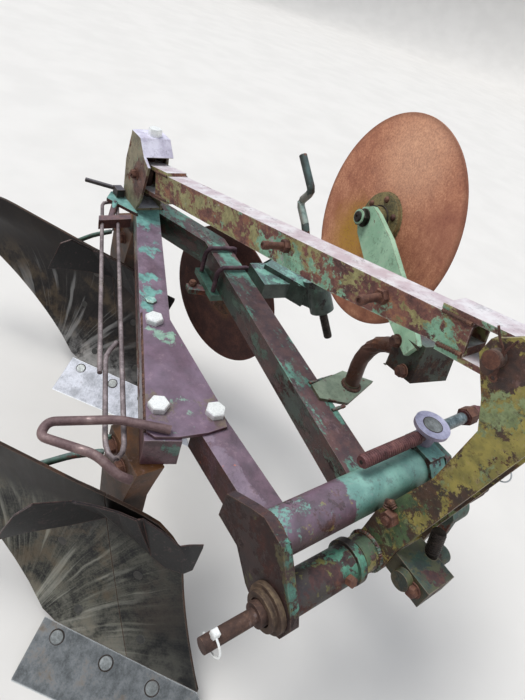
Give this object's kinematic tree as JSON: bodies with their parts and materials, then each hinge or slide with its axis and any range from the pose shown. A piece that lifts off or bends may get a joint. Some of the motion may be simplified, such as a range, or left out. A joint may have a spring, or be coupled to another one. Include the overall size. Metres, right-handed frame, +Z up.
{
  "type": "moldboard plough",
  "caption": "Mounted mouldboard plough on a square-tube frame with a hitch mast, disc coulters, trash boards and adjusting screws, parked on its shares and landsides.",
  "frame": {"origin": "on the ground under the middle of the whole plough", "axes": "+X is the direction of travel (towards the hitch), +Y is to the left, +Z is up"},
  "size_m": [1.9279, 1.3236, 1.263],
  "materials": {
    "beam_paint": "worn paint over rust",
    "red_paint": "worn red paint",
    "turquoise_paint": "faded paint",
    "green_paint": "faded paint with rust",
    "mast_paint": "faded paint with rust",
    "brace_paint": "worn paint",
    "bracket_paint": "worn paint",
    "arm_paint": "chalky paint",
    "rusty_steel": "rusted",
    "plain_steel": "dull",
    "leg_paint": "rusted paint",
    "casting": "rough",
    "scoured_steel": "scoured",
    "share_steel": "scoured bright",
    "board_paint": "dull",
    "disc_rust": "rusted",
    "disc_dark": "rusted and scoured"
  },
  "bodies": {
    "frame": {"main_beam": "beam_paint", "gusset_plate": "beam_paint", "front_beam": "red_paint", "bearing_plate": "red_paint", "cross_tube": "turquoise_paint", "diagonal_beam": "green_paint", "cross_shaft": "rusty_steel", "shaft_sleeve": "mast_paint", "right_bearing": "rusty_steel", "left_bearing": "turquoise_paint", "mast_right": "mast_paint", "mast_left": "mast_paint", "mast_spacer": "rusty_steel", "swivel_block": "rusty_steel", "brace_pins": "rusty_steel", "top_brace": "brace_paint", "rear_bracket": "bracket_paint", "width_screw": "rusty_steel", "screw_trunnion": "plain_steel", "trunnion_bracket": "turquoise_paint", "level_screw": "rusty_steel", "level_bracket": "mast_paint", "rod_loop": "rusty_steel", "hand_loop": "rusty_steel", "loop_bracket": "turquoise_paint", "front_leg": "leg_paint", "front_frog": "casting", "front_share": "share_steel", "front_mouldboard": "scoured_steel", "front_shin": "scoured_steel", "front_trash_board": "board_paint", "front_landside": "rusty_steel", "front_stay": "green_paint", "rear_leg": "leg_paint", "rear_frog": "casting", "rear_share": "share_steel", "rear_mouldboard": "scoured_steel", "rear_shin": "scoured_steel", "rear_trash_board": "board_paint", "rear_landside": "rusty_steel", "rear_stay": "green_paint", "front_arm": "arm_paint", "front_stem": "rusty_steel", "front_clamp": "casting", "rear_arm": "green_paint", "rear_casting": "green_paint", "rear_clamp": "rusty_steel", "crank": "arm_paint"},
    "front_disc": {"front_disc": "disc_rust"},
    "rear_disc": {"rear_disc": "disc_dark"}
  },
  "joints": [
    {"name": "front_disc_spin", "type": "hinge", "parent": "frame", "child": "front_disc", "pos_m": [0.303, 0.438, 1.024], "axis": [0.2187, 0.9705, -0.1011], "continuous": true},
    {"name": "rear_disc_spin", "type": "hinge", "parent": "frame", "child": "rear_disc", "pos_m": [-0.171, 0.414, 0.469], "axis": [-0.1959, 0.9806, 0], "continuous": true}
  ]
}
